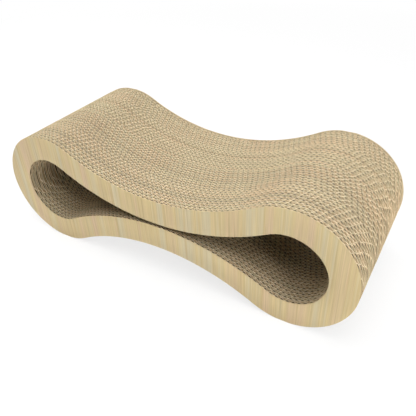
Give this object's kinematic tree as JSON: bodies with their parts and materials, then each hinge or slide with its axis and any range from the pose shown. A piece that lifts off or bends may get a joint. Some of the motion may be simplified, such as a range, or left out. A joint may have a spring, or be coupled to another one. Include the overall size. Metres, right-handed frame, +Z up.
{
  "type": "cat scratcher lounge",
  "caption": "Figure-eight lounge of stacked, glued corrugated board that a cat lies on and scratches, with a low saddle, two round open lobes and wood-grain papered sides.",
  "frame": {"origin": "on the floor, under the middle of the lounge", "axes": "+X along the length, +Y across the width from the front papered side to the back one, +Z up"},
  "size_m": [0.6, 0.229, 0.19],
  "materials": {
    "corrugated_board": "matte",
    "wood_grain_paper": "satin"
  },
  "bodies": {
    "root": {"corrugated_sheet_01": "corrugated_board", "corrugated_sheet_02": "corrugated_board", "corrugated_sheet_03": "corrugated_board", "corrugated_sheet_04": "corrugated_board", "corrugated_sheet_05": "corrugated_board", "corrugated_sheet_06": "corrugated_board", "corrugated_sheet_07": "corrugated_board", "corrugated_sheet_08": "corrugated_board", "corrugated_sheet_09": "corrugated_board", "corrugated_sheet_10": "corrugated_board", "corrugated_sheet_11": "corrugated_board", "corrugated_sheet_12": "corrugated_board", "corrugated_sheet_13": "corrugated_board", "corrugated_sheet_14": "corrugated_board", "corrugated_sheet_15": "corrugated_board", "corrugated_sheet_16": "corrugated_board", "corrugated_sheet_17": "corrugated_board", "corrugated_sheet_18": "corrugated_board", "corrugated_sheet_19": "corrugated_board", "corrugated_sheet_20": "corrugated_board", "corrugated_sheet_21": "corrugated_board", "corrugated_sheet_22": "corrugated_board", "corrugated_sheet_23": "corrugated_board", "corrugated_sheet_24": "corrugated_board", "corrugated_sheet_25": "corrugated_board", "corrugated_sheet_26": "corrugated_board", "corrugated_sheet_27": "corrugated_board", "corrugated_sheet_28": "corrugated_board", "corrugated_sheet_29": "corrugated_board", "corrugated_sheet_30": "corrugated_board", "corrugated_sheet_31": "corrugated_board", "corrugated_sheet_32": "corrugated_board", "corrugated_sheet_33": "corrugated_board", "corrugated_sheet_34": "corrugated_board", "corrugated_sheet_35": "corrugated_board", "corrugated_sheet_36": "corrugated_board", "corrugated_sheet_37": "corrugated_board", "side_paper_front": "wood_grain_paper", "side_paper_back": "wood_grain_paper"}
  },
  "joints": []
}
